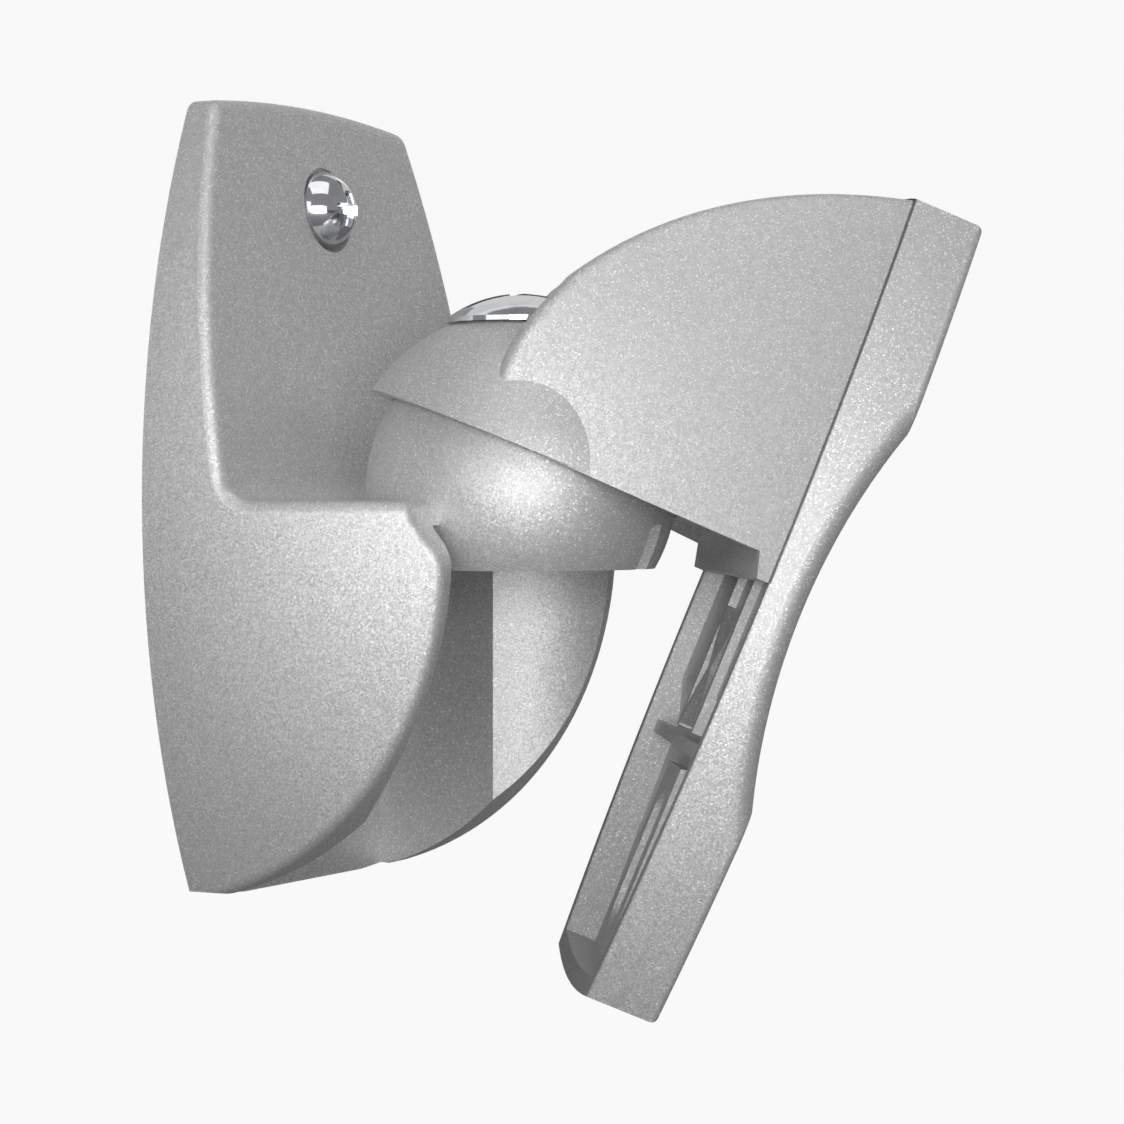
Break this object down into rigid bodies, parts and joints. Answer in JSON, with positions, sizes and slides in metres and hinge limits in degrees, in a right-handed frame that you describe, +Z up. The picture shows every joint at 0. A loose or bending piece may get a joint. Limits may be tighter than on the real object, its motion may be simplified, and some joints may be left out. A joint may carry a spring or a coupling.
{
  "type": "loudspeaker wall bracket",
  "caption": "Small wall bracket for a loudspeaker: a barrel-shaped wall part with a ball on its shelf, and a capped arm with a waisted plate that swivels and tilts on the ball.",
  "frame": {"origin": "middle of the flat wall face, level with the shelf that carries the ball", "axes": "+X along the wall, to the right for a viewer who faces the wall; +Y into the wall; +Z up. The bracket stands out towards -Y."},
  "size_m": [0.068, 0.0928, 0.0953],
  "materials": {
    "silver_lacquer": "silver lacquer with a fine metallic grain on a plastic moulding",
    "bright_screw": "polished chrome plate",
    "plated_steel": "plain zinc plate, satin"
  },
  "bodies": {
    "wall": {"wall_shell": "silver_lacquer", "wall_screw": "bright_screw"},
    "clamp": {"clamp_screw": "bright_screw", "clamp_washer": "plated_steel", "clamp_nut": "plated_steel"},
    "speaker": {"speaker_arm": "silver_lacquer", "speaker_plate": "silver_lacquer", "arm_screw_lower": "plated_steel", "arm_screw_upper": "plated_steel"}
  },
  "joints": [
    {"name": "swivel", "type": "hinge", "parent": "wall", "child": "clamp", "pos_m": [0, -0.0289, 0.0007], "axis": [0, 0, 1], "range_deg": [-67.4, 2.6]},
    {"name": "tilt", "type": "hinge", "parent": "clamp", "child": "speaker", "pos_m": [0, -0.0289, 0.0007], "axis": [0.8443, 0.5358, 0], "range_deg": [-32.6, 2.4]}
  ]
}
